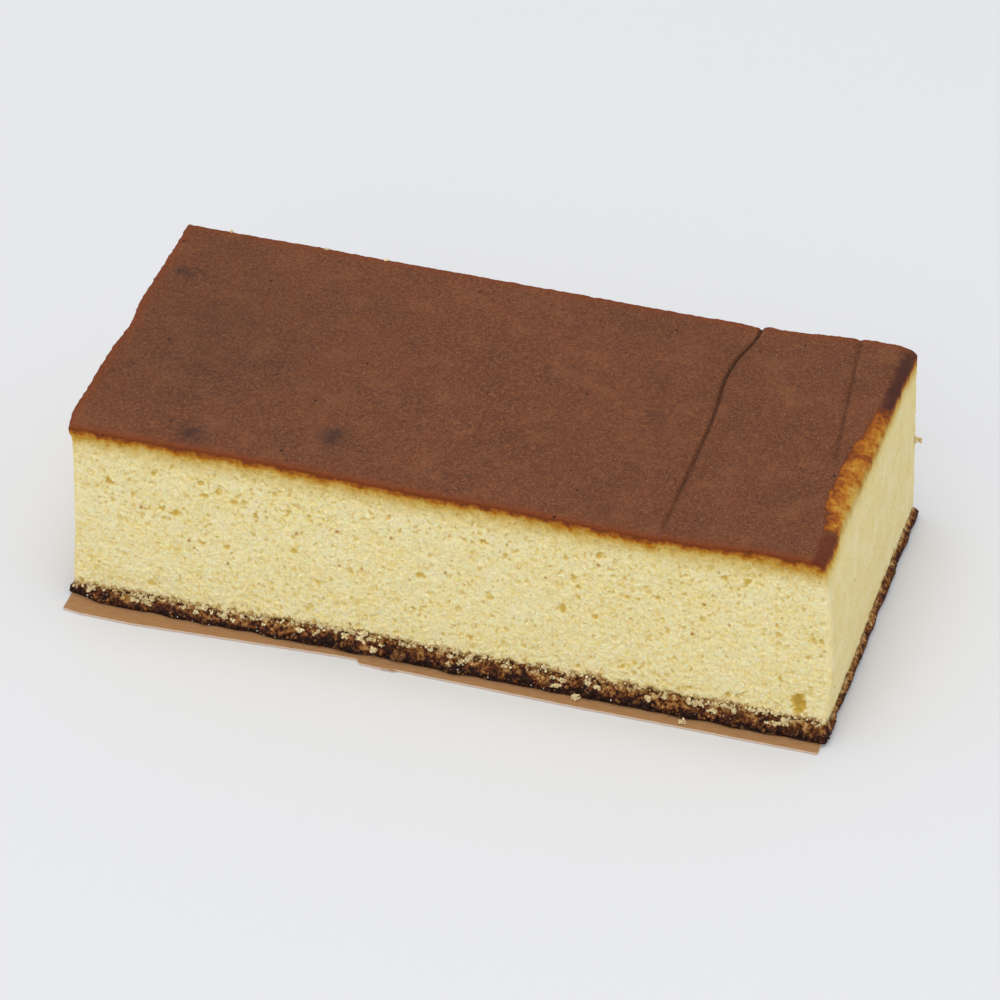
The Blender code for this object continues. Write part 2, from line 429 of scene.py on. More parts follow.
@dataclass
class Blank:
    """A block of material that is cut into an even skin before it is shaped."""

    name: str
    low: Sequence[float]
    high: Sequence[float]
    body: Piece = field(init=False)

    def __post_init__(self) -> None:
        """Add the block at its size and place, with nothing else selected."""
        deselect()
        centre = [(a + b) / 2 * MM for a, b in zip(self.low, self.high)]
        size = [(b - a) * MM for a, b in zip(self.low, self.high)]
        bpy.ops.mesh.primitive_cube_add(size=1.0, location=centre, scale=size)
        self.body = bpy.context.object
        self.body.name = self.name
        self.body.data.name = self.name
        bpy.ops.object.transform_apply(location=True, rotation=True, scale=True)

    def select_faces(self, *ways: tuple[Axis, int]) -> None:
        """Select only the faces that look along the given signed axes."""
        select_nothing("FACE")
        for face in self.body.data.polygons:
            face.select = any(face.normal[axis.value] * sign > FACING for axis, sign in ways)

    def open_faces(self, *ways: tuple[Axis, int]) -> None:
        """Delete the faces that look along the given signed axes."""
        self.select_faces(*ways)
        with editing():
            bpy.ops.mesh.delete(type="ONLY_FACE")

    def long_edges(self, axis: Axis, step: float, where: Optional[EdgeTest]) -> Values:
        """Return the length of each edge that is to be cut, and zero for every other edge."""
        mesh = self.body.data
        points = self.points()
        ends = np.empty(len(mesh.edges) * 2, dtype=int)
        mesh.edges.foreach_get("vertices", ends)
        first, last = points[ends[::2]], points[ends[1::2]]
        run = np.abs(first - last)
        others = [i for i in range(3) if i != axis.value]
        chosen = (run[:, others].max(axis=1) < STRAIGHT) & (run[:, axis.value] > step * 1.5)
        if where is not None:
            chosen &= where((first + last) / 2)
        return run[:, axis.value] * chosen

    def cut_evenly(self, axis: Axis, step: float, where: Optional[EdgeTest] = None) -> None:
        """Cut every long edge along an axis into even lengths.

        One subdivision makes at most a hundred cuts, so very long edges are cut in two rounds.

        Args:
            axis: Direction of the edges that are cut.
            step: Length of the cut edges in millimetres.
            where: Optional test of the edges' middles, in millimetres.
        """
        lengths = self.long_edges(axis, step, where)
        while lengths.max() > 0.0:
            parts = max(2, round(lengths.max() / step))
            if parts > MOST_PARTS:
                parts = round(math.sqrt(parts))
            select_nothing("EDGE")
            self.body.data.edges.foreach_set("select", lengths > 0.0)
            with editing():
                bpy.ops.mesh.subdivide(number_cuts=parts - 1, quadcorner="INNERVERT")
            lengths = self.long_edges(axis, step, where)

    def sink_top(self, margin: float, depth: float) -> None:
        """Inset the top face and sink its middle, out of sight, by millimetres."""
        self.select_faces((Axis.Z, 1))
        with editing():
            bpy.ops.mesh.inset(thickness=margin * MM, depth=-depth * MM)

    def select_open_rims(self) -> None:
        """Select only the edges of open rims."""
        select_nothing("EDGE")
        with editing():
            bpy.ops.mesh.select_non_manifold(
                extend=False, use_wire=False, use_boundary=True, use_multi_face=False,
                use_non_contiguous=False, use_verts=False)

    def tuck_rim(self, scale: Sequence[float], drop: float) -> None:
        """Turn the open rim in and down under the skin, so that its closing face is deep.

        Args:
            scale: Scale along X, Y and Z of the new inner rim about the origin.
            drop: How far the new rim lies below the old one, in millimetres.
        """
        self.select_open_rims()
        with editing():
            bpy.ops.mesh.extrude_edges_move()
            bpy.ops.transform.resize(value=scale, center_override=(0.0, 0.0, 0.0))
            bpy.ops.transform.translate(value=(0.0, 0.0, -drop * MM))

    def fill_open_rims(self) -> None:
        """Close every open rim with one face."""
        self.select_open_rims()
        with editing():
            bpy.ops.mesh.fill_holes(sides=0)
            bpy.ops.mesh.select_all(action="SELECT")
            bpy.ops.mesh.normals_make_consistent(inside=False)

    def points(self) -> Values:
        """Return the mesh's points in millimetres."""
        flat = np.empty(len(self.body.data.vertices) * 3)
        self.body.data.vertices.foreach_get("co", flat)
        return flat.reshape(-1, 3) / MM

    def move_points(self, points: Values) -> None:
        """Write the mesh's points, given in millimetres."""
        self.body.data.vertices.foreach_set("co", (points * MM).ravel())
        self.body.data.update()

    def note(self, **notes: Values) -> None:
        """Keep numbers, or directions, for each point as named attributes."""
        note_points(self.body.data, **notes)


def pick(piece: Piece) -> None:
    """Make one object the only selected and active one."""
    deselect()
    piece.select_set(True)
    bpy.context.view_layer.objects.active = piece


def apply_modifiers(piece: Piece) -> None:
    """Apply every modifier of a piece, in order."""
    pick(piece)
    for modifier in list(piece.modifiers):
        bpy.ops.object.modifier_apply(modifier=modifier.name)


def thin_to(piece: Piece, triangles: int) -> None:
    """Reduce a piece to a number of triangles where it has more.

    Args:
        piece: Mesh object to thin.
        triangles: The most triangles that it may keep.
    """
    piece.data.calc_loop_triangles()
    count = len(piece.data.loop_triangles)
    if count > triangles:
        modifier = piece.modifiers.new("thin", "DECIMATE")
        modifier.ratio = triangles / count
        apply_modifiers(piece)


def finish_piece(piece: Piece, material: Finish, smooth_degrees: float,
                 node: str) -> None:
    """Shade, dress and hand over one finished piece.

    Args:
        piece: The finished mesh object.
        material: Its material.
        smooth_degrees: Edges sharper than this stay sharp.
        node: The CAD node that the piece stands for.
    """
    pick(piece)
    bpy.ops.object.shade_smooth_by_angle(angle=math.radians(smooth_degrees))
    piece.data.materials.clear()
    piece.data.materials.append(material)
    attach(piece, "root")
    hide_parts(node)
    piece.data.calc_loop_triangles()
    LOG.info("%s: %d triangles", piece.name, len(piece.data.loop_triangles))


# ---- Relief of the surfaces, cut by geometry nodes ----

def new_relief(name: str) -> tuple[Tree, Socket]:
    """Start a geometry node group that takes a mesh and returns one.

    Args:
        name: Name of the group.

    Returns:
        The group and the output socket that holds the incoming mesh.
    """
    tree = bpy.data.node_groups.new(name, "GeometryNodeTree")
    for way in ("INPUT", "OUTPUT"):
        tree.interface.new_socket("Geometry", in_out=way, socket_type="NodeSocketGeometry")
    return tree, add_node(tree, "NodeGroupInput").outputs[0]


def noted(tree: Tree, name: str, kind: str = "FLOAT") -> Socket:
    """Read a named attribute inside a geometry node group."""
    return add_node(tree, "GeometryNodeInputNamedAttribute", {"Name": name},
                    data_type=kind).outputs[0]


def calculate(tree: Tree, sum_kind: str, *values: Number) -> Socket:
    """Combine numbers or sockets with one operation, from the first to the last."""
    total = values[0]
    for value in values[1:]:
        total = add_node(tree, "ShaderNodeMath", {0: total, 1: value},
                         operation=sum_kind).outputs[0]
    return total


def mottle(tree: Tree, place: Socket, size: float,
           span: Span, reach: Span = (0.0, 1.0),
           detail: float = 2.0, rough: float = 0.5) -> Socket:
    """Make cloudy patches of a real size.

    Args:
        tree: Node tree that gets the pattern.
        place: Coordinates in metres.
        size: Size of the patches in millimetres.
        span: The noise values at which a patch begins and is full.
        reach: What the patches' values run from and to.
        detail: How much finer structure the patches hold.
        rough: How strong that structure is.

    Returns:
        The pattern's value.
    """
    cloud = add_node(tree, "ShaderNodeTexNoise", {
        "Vector": place, "Scale": 1 / (size * MM), "Detail": detail,
        "Roughness": rough}).outputs[0]
    return add_node(tree, "ShaderNodeMapRange", {
        "Value": cloud, "From Min": span[0], "From Max": span[1], "To Min": reach[0],
        "To Max": reach[1]}).outputs[0]


def swirl(tree: Tree, place: Socket, size: float,
          reach: float) -> Socket:
    """Make an uneven offset that varies over a size and stays within a reach, in mm."""
    cloud = add_node(tree, "ShaderNodeTexNoise", {
        "Vector": place, "Scale": 1 / (size * MM), "Detail": 1.0}).outputs["Color"]
    centred = add_node(tree, "ShaderNodeVectorMath", {0: cloud, 1: (0.5, 0.5, 0.5)},
                       operation="SUBTRACT").outputs[0]
    return add_node(tree, "ShaderNodeVectorMath", {0: centred, "Scale": 2 * reach * MM},
                    operation="SCALE").outputs[0]


def push_out(tree: Tree, mesh: Socket,
             height: Socket) -> None:
    """End a relief group: move the skin along its outward direction by a height in mm."""
    height = calculate(tree, "MULTIPLY", height, noted(tree, "skin"), MM)
    offset = add_node(tree, "ShaderNodeVectorMath", {
        0: noted(tree, "outward", "FLOAT_VECTOR"), "Scale": height}, operation="SCALE").outputs[0]
    moved = add_node(tree, "GeometryNodeSetPosition", {"Geometry": mesh, "Offset": offset})
    add_node(tree, "NodeGroupOutput", {0: moved.outputs[0]})


@dataclass(frozen=True)
class PoreSize:
    """One family of gas cells in the crumb.

    Attributes:
        spacing: Distance between cells in millimetres.
        depth: Depth of a cell in millimetres.
        wide: Share of the spacing at which a cell has closed up.
        tight: Share of the spacing within which a cell is at full depth.
        rare: Share of the cells that are left out.
    """

    spacing: float
    depth: float
    wide: float
    tight: float
    rare: float = 0.0


@dataclass(frozen=True)
class CrumbRelief:
    """Open sponge crumb: irregular gas cells between thin torn walls.

    A warp has the size and reach of a bend in the cells, a tuft the size and height of fluff.
    """

    pores: tuple[PoreSize, ...] = (
        PoreSize(spacing=0.95, depth=0.30, wide=0.58, tight=0.26, rare=0.15),
        PoreSize(spacing=1.7, depth=0.60, wide=0.56, tight=0.20, rare=0.40),
        PoreSize(spacing=2.9, depth=0.85, wide=0.56, tight=0.16, rare=0.76),
    )
    warps: tuple[Span, ...] = ((2.4, 1.2), (0.8, 0.6))
    tufts: tuple[Span, ...] = ((1.9, 0.26), (0.6, 0.38))
    least_fluff: float = 0.22

    def tree(self) -> Tree:
        """Build the node group that presses the cells into a cut face."""
        tree, mesh = new_relief("crumb_relief")
        place = add_node(tree, "GeometryNodeInputPosition").outputs[0]
        open_share = noted(tree, "open")
        bent = place
        for size, reach in self.warps:
            bent = add_node(tree, "ShaderNodeVectorMath", {
                0: bent, 1: swirl(tree, place, size, reach)}, operation="ADD").outputs[0]
        bowls = []
        for number, pore in enumerate(self.pores):
            cell = add_node(tree, "ShaderNodeTexVoronoi", {
                "Vector": bent, "Scale": 1 / (pore.spacing * MM), "Randomness": 1.0}, feature="F1")
            bowl = add_node(tree, "ShaderNodeMapRange", {
                "Value": cell.outputs["Distance"], "From Min": pore.wide, "From Max": pore.tight,
                "To Min": 0.0, "To Max": pore.depth}, interpolation_type="SMOOTHSTEP").outputs[0]
            kept = add_node(tree, "FunctionNodeSeparateColor", {"Color": cell.outputs["Color"]})
            present = add_node(tree, "ShaderNodeMapRange", {
                "Value": kept.outputs[number], "From Min": pore.rare - 0.02,
                "From Max": min(1.0, pore.rare + 0.25)}).outputs[0]
            bowls.append(calculate(tree, "MULTIPLY", bowl, present))
        depth = calculate(tree, "MULTIPLY", calculate(tree, "MAXIMUM", *bowls), open_share)
        depth = calculate(tree, "MAXIMUM", depth, noted(tree, "pit"))
        fluff = calculate(tree, "ADD", *(
            mottle(tree, place, size, (0.3, 0.7), (-rise, rise), 4.0, 0.7)
            for size, rise in self.tufts))
        fluff = calculate(tree, "MULTIPLY", fluff, calculate(
            tree, "MAXIMUM", open_share, self.least_fluff))
        stored = add_node(tree, "GeometryNodeStoreNamedAttribute", {
            "Geometry": mesh, "Name": "pore", "Value": depth},
            data_type="FLOAT", domain="POINT").outputs[0]
        push_out(tree, stored, calculate(tree, "SUBTRACT", fluff, depth))
        return tree


@dataclass(frozen=True)
class LumpRelief:
    """Lumpy relief: coarse lumps with finer grain on them."""

    name: str
    lump: float
    lump_size: float
    grain: float
    grain_size: float

    def tree(self) -> Tree:
        """Build the node group that raises the lumps along the outward direction."""
        tree, mesh = new_relief(self.name)
        place = add_node(tree, "GeometryNodeInputPosition").outputs[0]
        lumps = add_node(tree, "ShaderNodeTexVoronoi", {
            "Vector": place, "Scale": 1 / (self.lump_size * MM), "Smoothness": 0.25},
            feature="SMOOTH_F1").outputs["Distance"]
        lumps = add_node(tree, "ShaderNodeMapRange", {
            "Value": lumps, "From Min": 0.1, "From Max": 0.7, "To Min": self.lump,
            "To Max": -self.lump}).outputs[0]
        grain = mottle(tree, place, self.grain_size, (0.3, 0.7), (-self.grain, self.grain),
                       4.0, 0.65)
        push_out(tree, mesh, calculate(tree, "ADD", lumps, grain))
        return tree


def carve(piece: Piece, tree: Tree) -> None:
    """Put a geometry node group on a piece and apply it."""
    modifier = piece.modifiers.new(tree.name, "NODES")
    modifier.node_group = tree
    apply_modifiers(piece)


# ---- Finishes ----

class Skin:
    """A material under way: its colour so far, its relief so far and its coordinates."""

    def __init__(self, name: str, colour: str) -> None:
        """Start a material with one plain colour.

        Args:
            name: Plain name of the real material.
            colour: Its first sRGB hex colour.
        """
        self.material = bpy.data.materials.new(name)
        self.material.use_nodes = True
        self.tree = self.material.node_tree
        self.shader = self.tree.nodes["Principled BSDF"]
        self.place = add_node(self.tree, "ShaderNodeTexCoord").outputs["Object"]
        self.colour = srgb(colour)
        self.relief = None

    def noted(self, name: str) -> Socket:
        """Read one of the piece's attributes."""
        return add_node(self.tree, "ShaderNodeAttribute", attribute_name=name).outputs["Fac"]

    def share(self, value: Socket, begin: float, end: float,
              most: float = 1.0) -> Socket:
        """Turn a value into a share: nothing at begin, and the most at end."""
        return add_node(self.tree, "ShaderNodeMapRange", {
            "Value": value, "From Min": begin, "From Max": end, "To Max": most},
            interpolation_type="SMOOTHSTEP").outputs[0]

    def tint(self, share: Socket, colour: Colour) -> None:
        """Blend the colour so far towards another by a share."""
        self.colour = add_node(self.tree, "ShaderNodeMix", {
            0: share, MIX_A: self.colour,
            MIX_B: srgb(colour) if isinstance(colour, str) else colour},
            data_type="RGBA").outputs[MIX_OUT]

    def patches(self, size: float, span: Span, colour: str, most: float = 1.0,
                detail: float = 3.0, rough: float = 0.5) -> None:
        """Blend cloudy patches of a size in millimetres into the colour."""
        self.tint(mottle(self.tree, self.place, size, span, (0.0, most), detail, rough), colour)

    def ragged(self, level: Socket, sizes: Iterable[Span],
               span: Span = (0.3, 0.7), weight: Number = 1.0) -> Socket:
        """Make a level uneven with cloudy patches.

        Args:
            level: The level so far, in millimetres or as a share.
            sizes: Each patch size in millimetres, with how far it shifts the level.
            span: The noise values at which a patch begins and is full.
            weight: How much of the shift counts, as a number or a socket.

        Returns:
            The uneven level.
        """
        for size, reach in sizes:
            patch = mottle(self.tree, self.place, size, span, (-reach, reach), 3.0, 0.6)
            level = calculate(self.tree, "ADD", level, calculate(
                self.tree, "MULTIPLY", patch, weight))
        return level

    def spots(self, spacing: float, begin: float, end: float,
              most: float) -> Socket:
        """Return the share of small round spots that lie some millimetres apart."""
        cells = add_node(self.tree, "ShaderNodeTexVoronoi", {
            "Vector": self.place, "Scale": 1 / (spacing * MM)}, feature="F1")
        return self.share(cells.outputs["Distance"], begin, end, most)

    def raise_by(self, height: Socket, millimetres: float,
                 strength: float = 0.8) -> None:
        """Add fine relief in which a height of one stands for some millimetres."""
        links = {"Height": height, "Distance": millimetres * MM, "Strength": strength}
        if self.relief is not None:
            links["Normal"] = self.relief
        self.relief = add_node(self.tree, "ShaderNodeBump", links).outputs[0]

    def grain(self, size: float, millimetres: float, strength: float = 0.8) -> None:
        """Add a fine grain: its size and height in millimetres."""
        cloud = mottle(self.tree, self.place, size, (0.0, 1.0), detail=3.0)
        self.raise_by(cloud, millimetres, strength)

    def finish(self, roughness: float, ior: float, specular: float = 0.5) -> Finish:
        """Link the colour and the relief, set the gloss and return the material."""
        self.tree.links.new(self.colour, self.shader.inputs["Base Color"])
        if self.relief is not None:
            self.tree.links.new(self.relief, self.shader.inputs["Normal"])
        self.shader.inputs["Roughness"].default_value = roughness
        self.shader.inputs["IOR"].default_value = ior
        self.shader.inputs["Specular IOR Level"].default_value = specular
        return self.material


@dataclass(frozen=True)
class BakedColours:
    """Colours of the sponge from the baked top down into the crumb.

    Each stop gives the depth below the top in millimetres and its colour there.
    """

    stops: tuple[tuple[float, str], ...] = (
        (0.2, "#642A0C"), (0.75, "#84420F"), (1.35, "#A65B12"), (2.0, "#BD7E22"),
        (2.8, "#CAA046"), (4.2, "#D8BA6A"), (7.0, "#E4D08C"))
    crumb: str = "#F6E5A6"
    deepest: float = 10.5

    def lay(self, skin: Skin, crust: Colour, crumb: Colour) -> None:
        """Colour a skin by its depth below the top, from the crust to the crumb.

        Args:
            skin: The material under way.
            crust: Colour of the crust.
            crumb: Colour of the crumb.
        """
        depth = skin.noted("bake")
        uneven = skin.share(depth, 0.0, 1.2)
        depth = skin.ragged(depth, ((5.0, 1.3), (2.2, 0.6), (1.0, 0.5)), (0.25, 0.75), uneven)
        level = calculate(skin.tree, "DIVIDE", depth, self.deepest)
        stops = [(place / self.deepest, code) for place, code in self.stops]
        baked = add_node(skin.tree, "ShaderNodeValToRGB", {"Fac": level}, stops=stops)
        skin.colour = baked.outputs["Color"]
        skin.tint(skin.share(depth, 0.5, 0.15), crust)
        skin.tint(skin.share(depth, 2.6, self.deepest), crumb)


@dataclass(frozen=True)
class SpongeCrumb:
    """Cut egg sponge: matt, pale yellow cell walls with warmer, deeper cells between.

    Light soaks a little way into the thin walls, so shaded cells stay warm and yellow; the deeper cells
    are also painted golden and darker as painted shade.
    """

    colours: BakedColours = BakedColours()
    pale: str = "#FBF3D0"
    # colour of the painted shade on the cut ends
    cut_end_and_shade: str = "#E8D491"
    gold: str = "#E8CC6E"
    # colours of the painted shade in the cells, by their depth
    pore_shade: str = "#DEBF62"
    deepest: str = "#C9A444"
    tan: str = "#B58A4C"
    foot_brown: str = "#4A2412"
    speck: str = "#B07A34"
    crust: str = "#5E260E"
    roughness: float = 0.85
    glow: float = 0.5
    glow_reach: float = 0.9
    glow_colours: tuple[float, float, float] = (1.0, 0.75, 0.35)

    def build(self) -> Finish:
        """Return the crumb's material."""
        skin = Skin("egg_sponge_crumb", self.colours.crumb)
        pore, open_share = skin.noted("pore"), skin.noted("open")
        # Painted shade: where the crumb is less open, on the cut ends, its colour turns a deeper
        # yellow, so the right end looks shaded.
        skin.tint(skin.share(open_share, 0.95, 0.4, 0.9), self.cut_end_and_shade)
        # Painted highlight and painted shade: a random pale mottle stands for lit crumb tips, and a
        # gold one stands for shaded cells.
        lit_tip_mottle = mottle(skin.tree, skin.place, 0.75, (0.47, 0.63), (0.0, 0.95), 4.0, 0.75)
        cells = mottle(skin.tree, skin.place, 1.35, (0.50, 0.68), (0.0, 0.75), 4.0, 0.6)
        for share, colour in ((lit_tip_mottle, self.pale), (cells, self.gold)):
            skin.tint(calculate(skin.tree, "MULTIPLY", share, skin.share(
                open_share, 0.0, 0.9)), colour)
        skin.patches(7.0, (0.4, 0.7), self.pale, 0.35)
        # Painted shade: the deeper a cell, the more golden and darker it is painted, for the shade and
        # warm light in the pores.
        skin.tint(skin.share(pore, 0.12, 0.8), self.pore_shade)
        skin.tint(skin.share(pore, 0.5, 1.6, 0.9), self.deepest)
        skin.tint(skin.spots(8.5, 0.085, 0.045, 0.75), self.speck)
        level = skin.ragged(skin.noted("foot"), ((3.2, 1.3), (0.9, 0.8)))
        skin.tint(skin.share(level, 1.9, 0.4, 0.85), self.tan)
        skin.tint(skin.share(level, 0.7, -0.6), self.foot_brown)
        self.colours.lay(skin, self.crust, skin.colour)
        skin.grain(0.5, 0.32, 1.0)
        skin.shader.inputs["Subsurface Weight"].default_value = self.glow
        skin.shader.inputs["Subsurface Radius"].default_value = self.glow_colours
        skin.shader.inputs["Subsurface Scale"].default_value = self.glow_reach * MM
        return skin.finish(self.roughness, 1.35, 0.2)


@dataclass(frozen=True)
class Smudge:
    """A darker patch on the baked top, in millimetres on the block."""

    x: float
    y: float
    reach_x: float
    reach_y: float
    strength: float


@dataclass(frozen=True)
class BakedTop:
    """Baked castella skin: dry, fine-grained brown with darker mottling and pinholes."""

    colours: BakedColours = BakedColours()
    brown: str = "#6F3E25"
    brown_dark: str = "#5A3120"
    brown_warm: str = "#925D3C"
    red: str = "#863C10"
    scorched: str = "#452019"
    corner: str = "#652810"
    smudge: str = "#3E2A26"
    # colour of the pinholes, and of the painted shade in the folds
    pinhole_and_fold_shade: str = "#1E0F0A"
    roughness: float = 0.72
    smudges: tuple[Smudge, ...] = (
        Smudge(-35.2, -28.5, 6.0, 6.5, 0.85),
        Smudge(-70.5, -38.0, 6.5, 6.5, 0.75),
        Smudge(-96.2, 29.5, 5.2, 4.2, 0.7),
        Smudge(-62.0, -5.0, 14.0, 5.0, 0.2),
        Smudge(43.0, 5.0, 5.0, 3.0, 0.2),
        Smudge(-80.0, 0.0, 45.0, 50.0, 0.26),
    )

    def build(self) -> Finish:
        """Return the baked top's material."""
        skin = Skin("baked_brown_crust", self.brown)
        skin.patches(17.0, (0.42, 0.66), self.brown_dark, 0.6)
        skin.patches(5.0, (0.5, 0.72), self.brown_dark, 0.5)
        skin.patches(9.0, (0.52, 0.7), self.brown_warm, 0.35)
        skin.patches(1.1, (0.49, 0.62), self.brown_warm, 0.65, 5.0, 0.85)
        skin.patches(1.4, (0.52, 0.64), self.smudge, 0.65, 5.0, 0.85)
        skin.patches(0.5, (0.52, 0.64), self.brown_warm, 0.9, 2.0, 0.8)
        for mark in self.smudges:
            self.add_smudge(skin, mark)
        skin.tint(skin.share(skin.noted("red_edge"), 0.0, 1.0, 0.8), self.red)
        ragged = mottle(skin.tree, skin.place, 2.6, (0.3, 0.7), (-0.25, 0.25))
        scorch = calculate(skin.tree, "ADD", skin.noted("scorch"), ragged)
        skin.tint(skin.share(scorch, 0.1, 0.9, 0.9), self.scorched)
        skin.tint(skin.share(skin.noted("corner"), 0.1, 0.9, 0.75), self.corner)
        # Painted shade: the long crease and the wrinkles are darkened along their bottoms.
        skin.tint(skin.share(skin.noted("fold"), 0.1, 1.0, 0.75), self.pinhole_and_fold_shade)
        pit = skin.spots(8.0, 0.065, 0.03, 0.9)
        skin.tint(pit, self.pinhole_and_fold_shade)
        self.colours.lay(skin, skin.colour, self.colours.crumb)
        skin.grain(0.5, 0.8, 1.0)
        skin.grain(2.2, 0.35, 1.0)
        skin.raise_by(calculate(skin.tree, "MULTIPLY", pit, -1.0), 0.3, 1.0)
        return skin.finish(self.roughness, 1.4, 0.3)

    def add_smudge(self, skin: Skin, mark: Smudge) -> None:
        """Darken one named patch of the top."""
        local = add_node(skin.tree, "ShaderNodeMapping", {
            "Vector": skin.place,
            "Location": (-mark.x / mark.reach_x, -mark.y / mark.reach_y, 0.0),
            "Scale": (1 / (mark.reach_x * MM), 1 / (mark.reach_y * MM), 0.0)},
            vector_type="POINT").outputs[0]
        away = add_node(skin.tree, "ShaderNodeVectorMath", {0: local}, operation="LENGTH")
        ragged = mottle(skin.tree, skin.place, 2.2, (0.0, 1.0), detail=3.0)
        away = calculate(skin.tree, "ADD", away.outputs["Value"], ragged)
        skin.tint(skin.share(away, 1.6, 0.4, mark.strength), self.smudge)


@dataclass(frozen=True)
class DarkFoot:
    """Bottom crust: nearly black caramelised sugar that turns to brown, torn crumb above.

    Each band begins and ends at a share of the crust's height and has its colour there.
    """

    bands: tuple[tuple[float, float, str], ...] = (
        (0.2, 0.5, "#3E1A0D"), (0.45, 0.75, "#6E3C1A"), (0.7, 0.95, "#9C6E3A"),
        (1.0, 1.25, "#D2B57C"))
    dark: str = "#210D08"
    tan: str = "#A67A48"

    def build(self) -> Finish:
        """Return the bottom crust's material."""
        skin = Skin("dark_bottom_crust", self.dark)
        level = skin.ragged(skin.noted("foot"), ((6.0, 0.3), (2.2, 0.42), (0.8, 0.3)))
        for begin, end, colour in self.bands:
            skin.tint(skin.share(level, begin, end), colour)
        skin.patches(1.1, (0.56, 0.7), self.tan, 0.6, 4.0, 0.7)
        skin.grain(0.5, 0.3, 0.9)
        return skin.finish(0.65, 1.4, 0.22)


@dataclass(frozen=True)
class KraftCard:
    """Brown kraft card: matt, with faint fibres, and a paler core where it is cut."""

    face: str = "#A67C54"
    fibre: str = "#94693F"
    core: str = "#D3BDAA"

    def build(self) -> Finish:
        """Return the card's material."""
        skin = Skin("kraft_card_stock", self.face)
        long_way = add_node(skin.tree, "ShaderNodeMapping", {
            "Vector": skin.place, "Scale": (0.25, 1.0, 1.0)}).outputs[0]
        fibre = mottle(skin.tree, long_way, 0.8, (0.4, 0.75), (0.0, 0.8), 4.0, 0.6)
        skin.tint(fibre, self.fibre)
        skin.tint(skin.noted("cut_edge"), self.core)
        skin.raise_by(fibre, 0.05, 0.5)
        return skin.finish(0.8, 1.45, 0.4)


@dataclass(frozen=True)
class LooseCrumb:
    """Crumbs that came off: matt, each of its own shade between two."""

    name: str
    dark: str
    light: str
    roughness: float = 0.85
    clear: float = 0.0

    def build(self) -> Finish:
        """Return the crumbs' material."""
        skin = Skin(self.name, self.dark)
        skin.tint(skin.noted("tone"), self.light)
        skin.grain(0.3, 0.1)
        skin.shader.inputs["Transmission Weight"].default_value = self.clear
        return skin.finish(self.roughness, 1.5, 0.4)


# ---- Pieces ----

SPONGE_SLOT = "baked_sponge"
LOAF_NODE = "castella_loaf"
CARD_NODE = "base_card"
CARD_LEFT_OF_LOAF = 104.2       # from the middle of the loaf to the card's left edge
CARD_BACK_OF_LOAF = 47.35       # and to its back edge


def round_corners(form: LoafForm, block: Values, rim: bool = False) -> Values:
    """Round the upright corners of a block's skin, then place it on the loaf."""
    (half_x, half_y), soft = form.half, form.corner_round
    out_x = np.maximum(0.0, np.abs(block[:, 0]) - half_x + soft)
    out_y = np.maximum(0.0, np.abs(block[:, 1]) - half_y + soft)
    reach = np.hypot(out_x, out_y)
    pull = np.where(reach > soft, soft / np.maximum(reach, 1e-6), 1.0)
    rounded = block.copy()
    rounded[:, 0] -= np.sign(block[:, 0]) * out_x * (1.0 - pull)
    rounded[:, 1] -= np.sign(block[:, 1]) * out_y * (1.0 - pull)
    return form.place(rounded, rim)


@dataclass(frozen=True)
class BigPore:
    """A large gas cell that the knife opened in the front face, in millimetres."""

    x: float
    z: float
    reach_x: float
    reach_z: float
    depth: float


